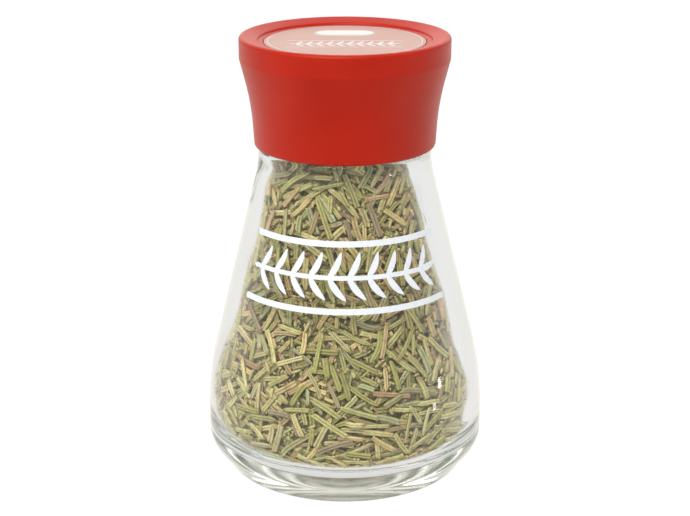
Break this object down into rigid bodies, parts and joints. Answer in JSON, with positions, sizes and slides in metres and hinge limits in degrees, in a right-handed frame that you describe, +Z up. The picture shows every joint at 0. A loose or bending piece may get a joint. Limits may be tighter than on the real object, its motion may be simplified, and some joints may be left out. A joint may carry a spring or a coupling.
{
  "type": "spice jar of dried rosemary",
  "caption": "Flared glass jar with a screw cap that climbs on the neck's thread, filled with dried cut rosemary leaves, for keeping and pouring the herb.",
  "frame": {"origin": "centre of the ring that the jar stands on, at the height of the table", "axes": "+Z up along the axis of the jar, -Y towards the front with the printed band, +X to the right seen from the front"},
  "size_m": [0.064, 0.064, 0.1002],
  "materials": {
    "glass": "polished",
    "red_plastic": "satin",
    "natural_plastic": "satin",
    "wad_board": "matte",
    "label_paper": "gloss",
    "leaf_bulk": "matte",
    "dried_leaf": "matte"
  },
  "bodies": {
    "jar": {"glass_jar": "glass", "rosemary_heap": "leaf_bulk", "leaf_01": "dried_leaf", "leaf_02": "dried_leaf", "leaf_03": "dried_leaf", "leaf_04": "dried_leaf", "leaf_05": "dried_leaf", "leaf_06": "dried_leaf", "leaf_07": "dried_leaf", "leaf_08": "dried_leaf", "leaf_09": "dried_leaf", "leaf_10": "dried_leaf", "leaf_11": "dried_leaf", "leaf_12": "dried_leaf", "leaf_13": "dried_leaf", "leaf_14": "dried_leaf", "leaf_15": "dried_leaf", "leaf_16": "dried_leaf", "leaf_17": "dried_leaf", "leaf_18": "dried_leaf", "leaf_19": "dried_leaf", "leaf_20": "dried_leaf"},
    "wad": {"cap_liner": "wad_board"},
    "cap": {"cap_shell": "red_plastic", "threaded_insert": "natural_plastic", "lid_label": "label_paper"}
  },
  "joints": [
    {"name": "cap_rise", "type": "slide", "parent": "jar", "child": "wad", "axis": [0, 0, 1], "range_m": [0, 0.00401]},
    {"name": "cap_turn", "type": "hinge", "parent": "wad", "child": "cap", "pos_m": [0, 0, 0.0757], "axis": [0, 0, 1], "range_deg": [0, 450]}
  ],
  "couplings": [
    {"joint": "cap_rise", "follows": "cap_turn", "m_per_rad": 0.0005093}
  ]
}
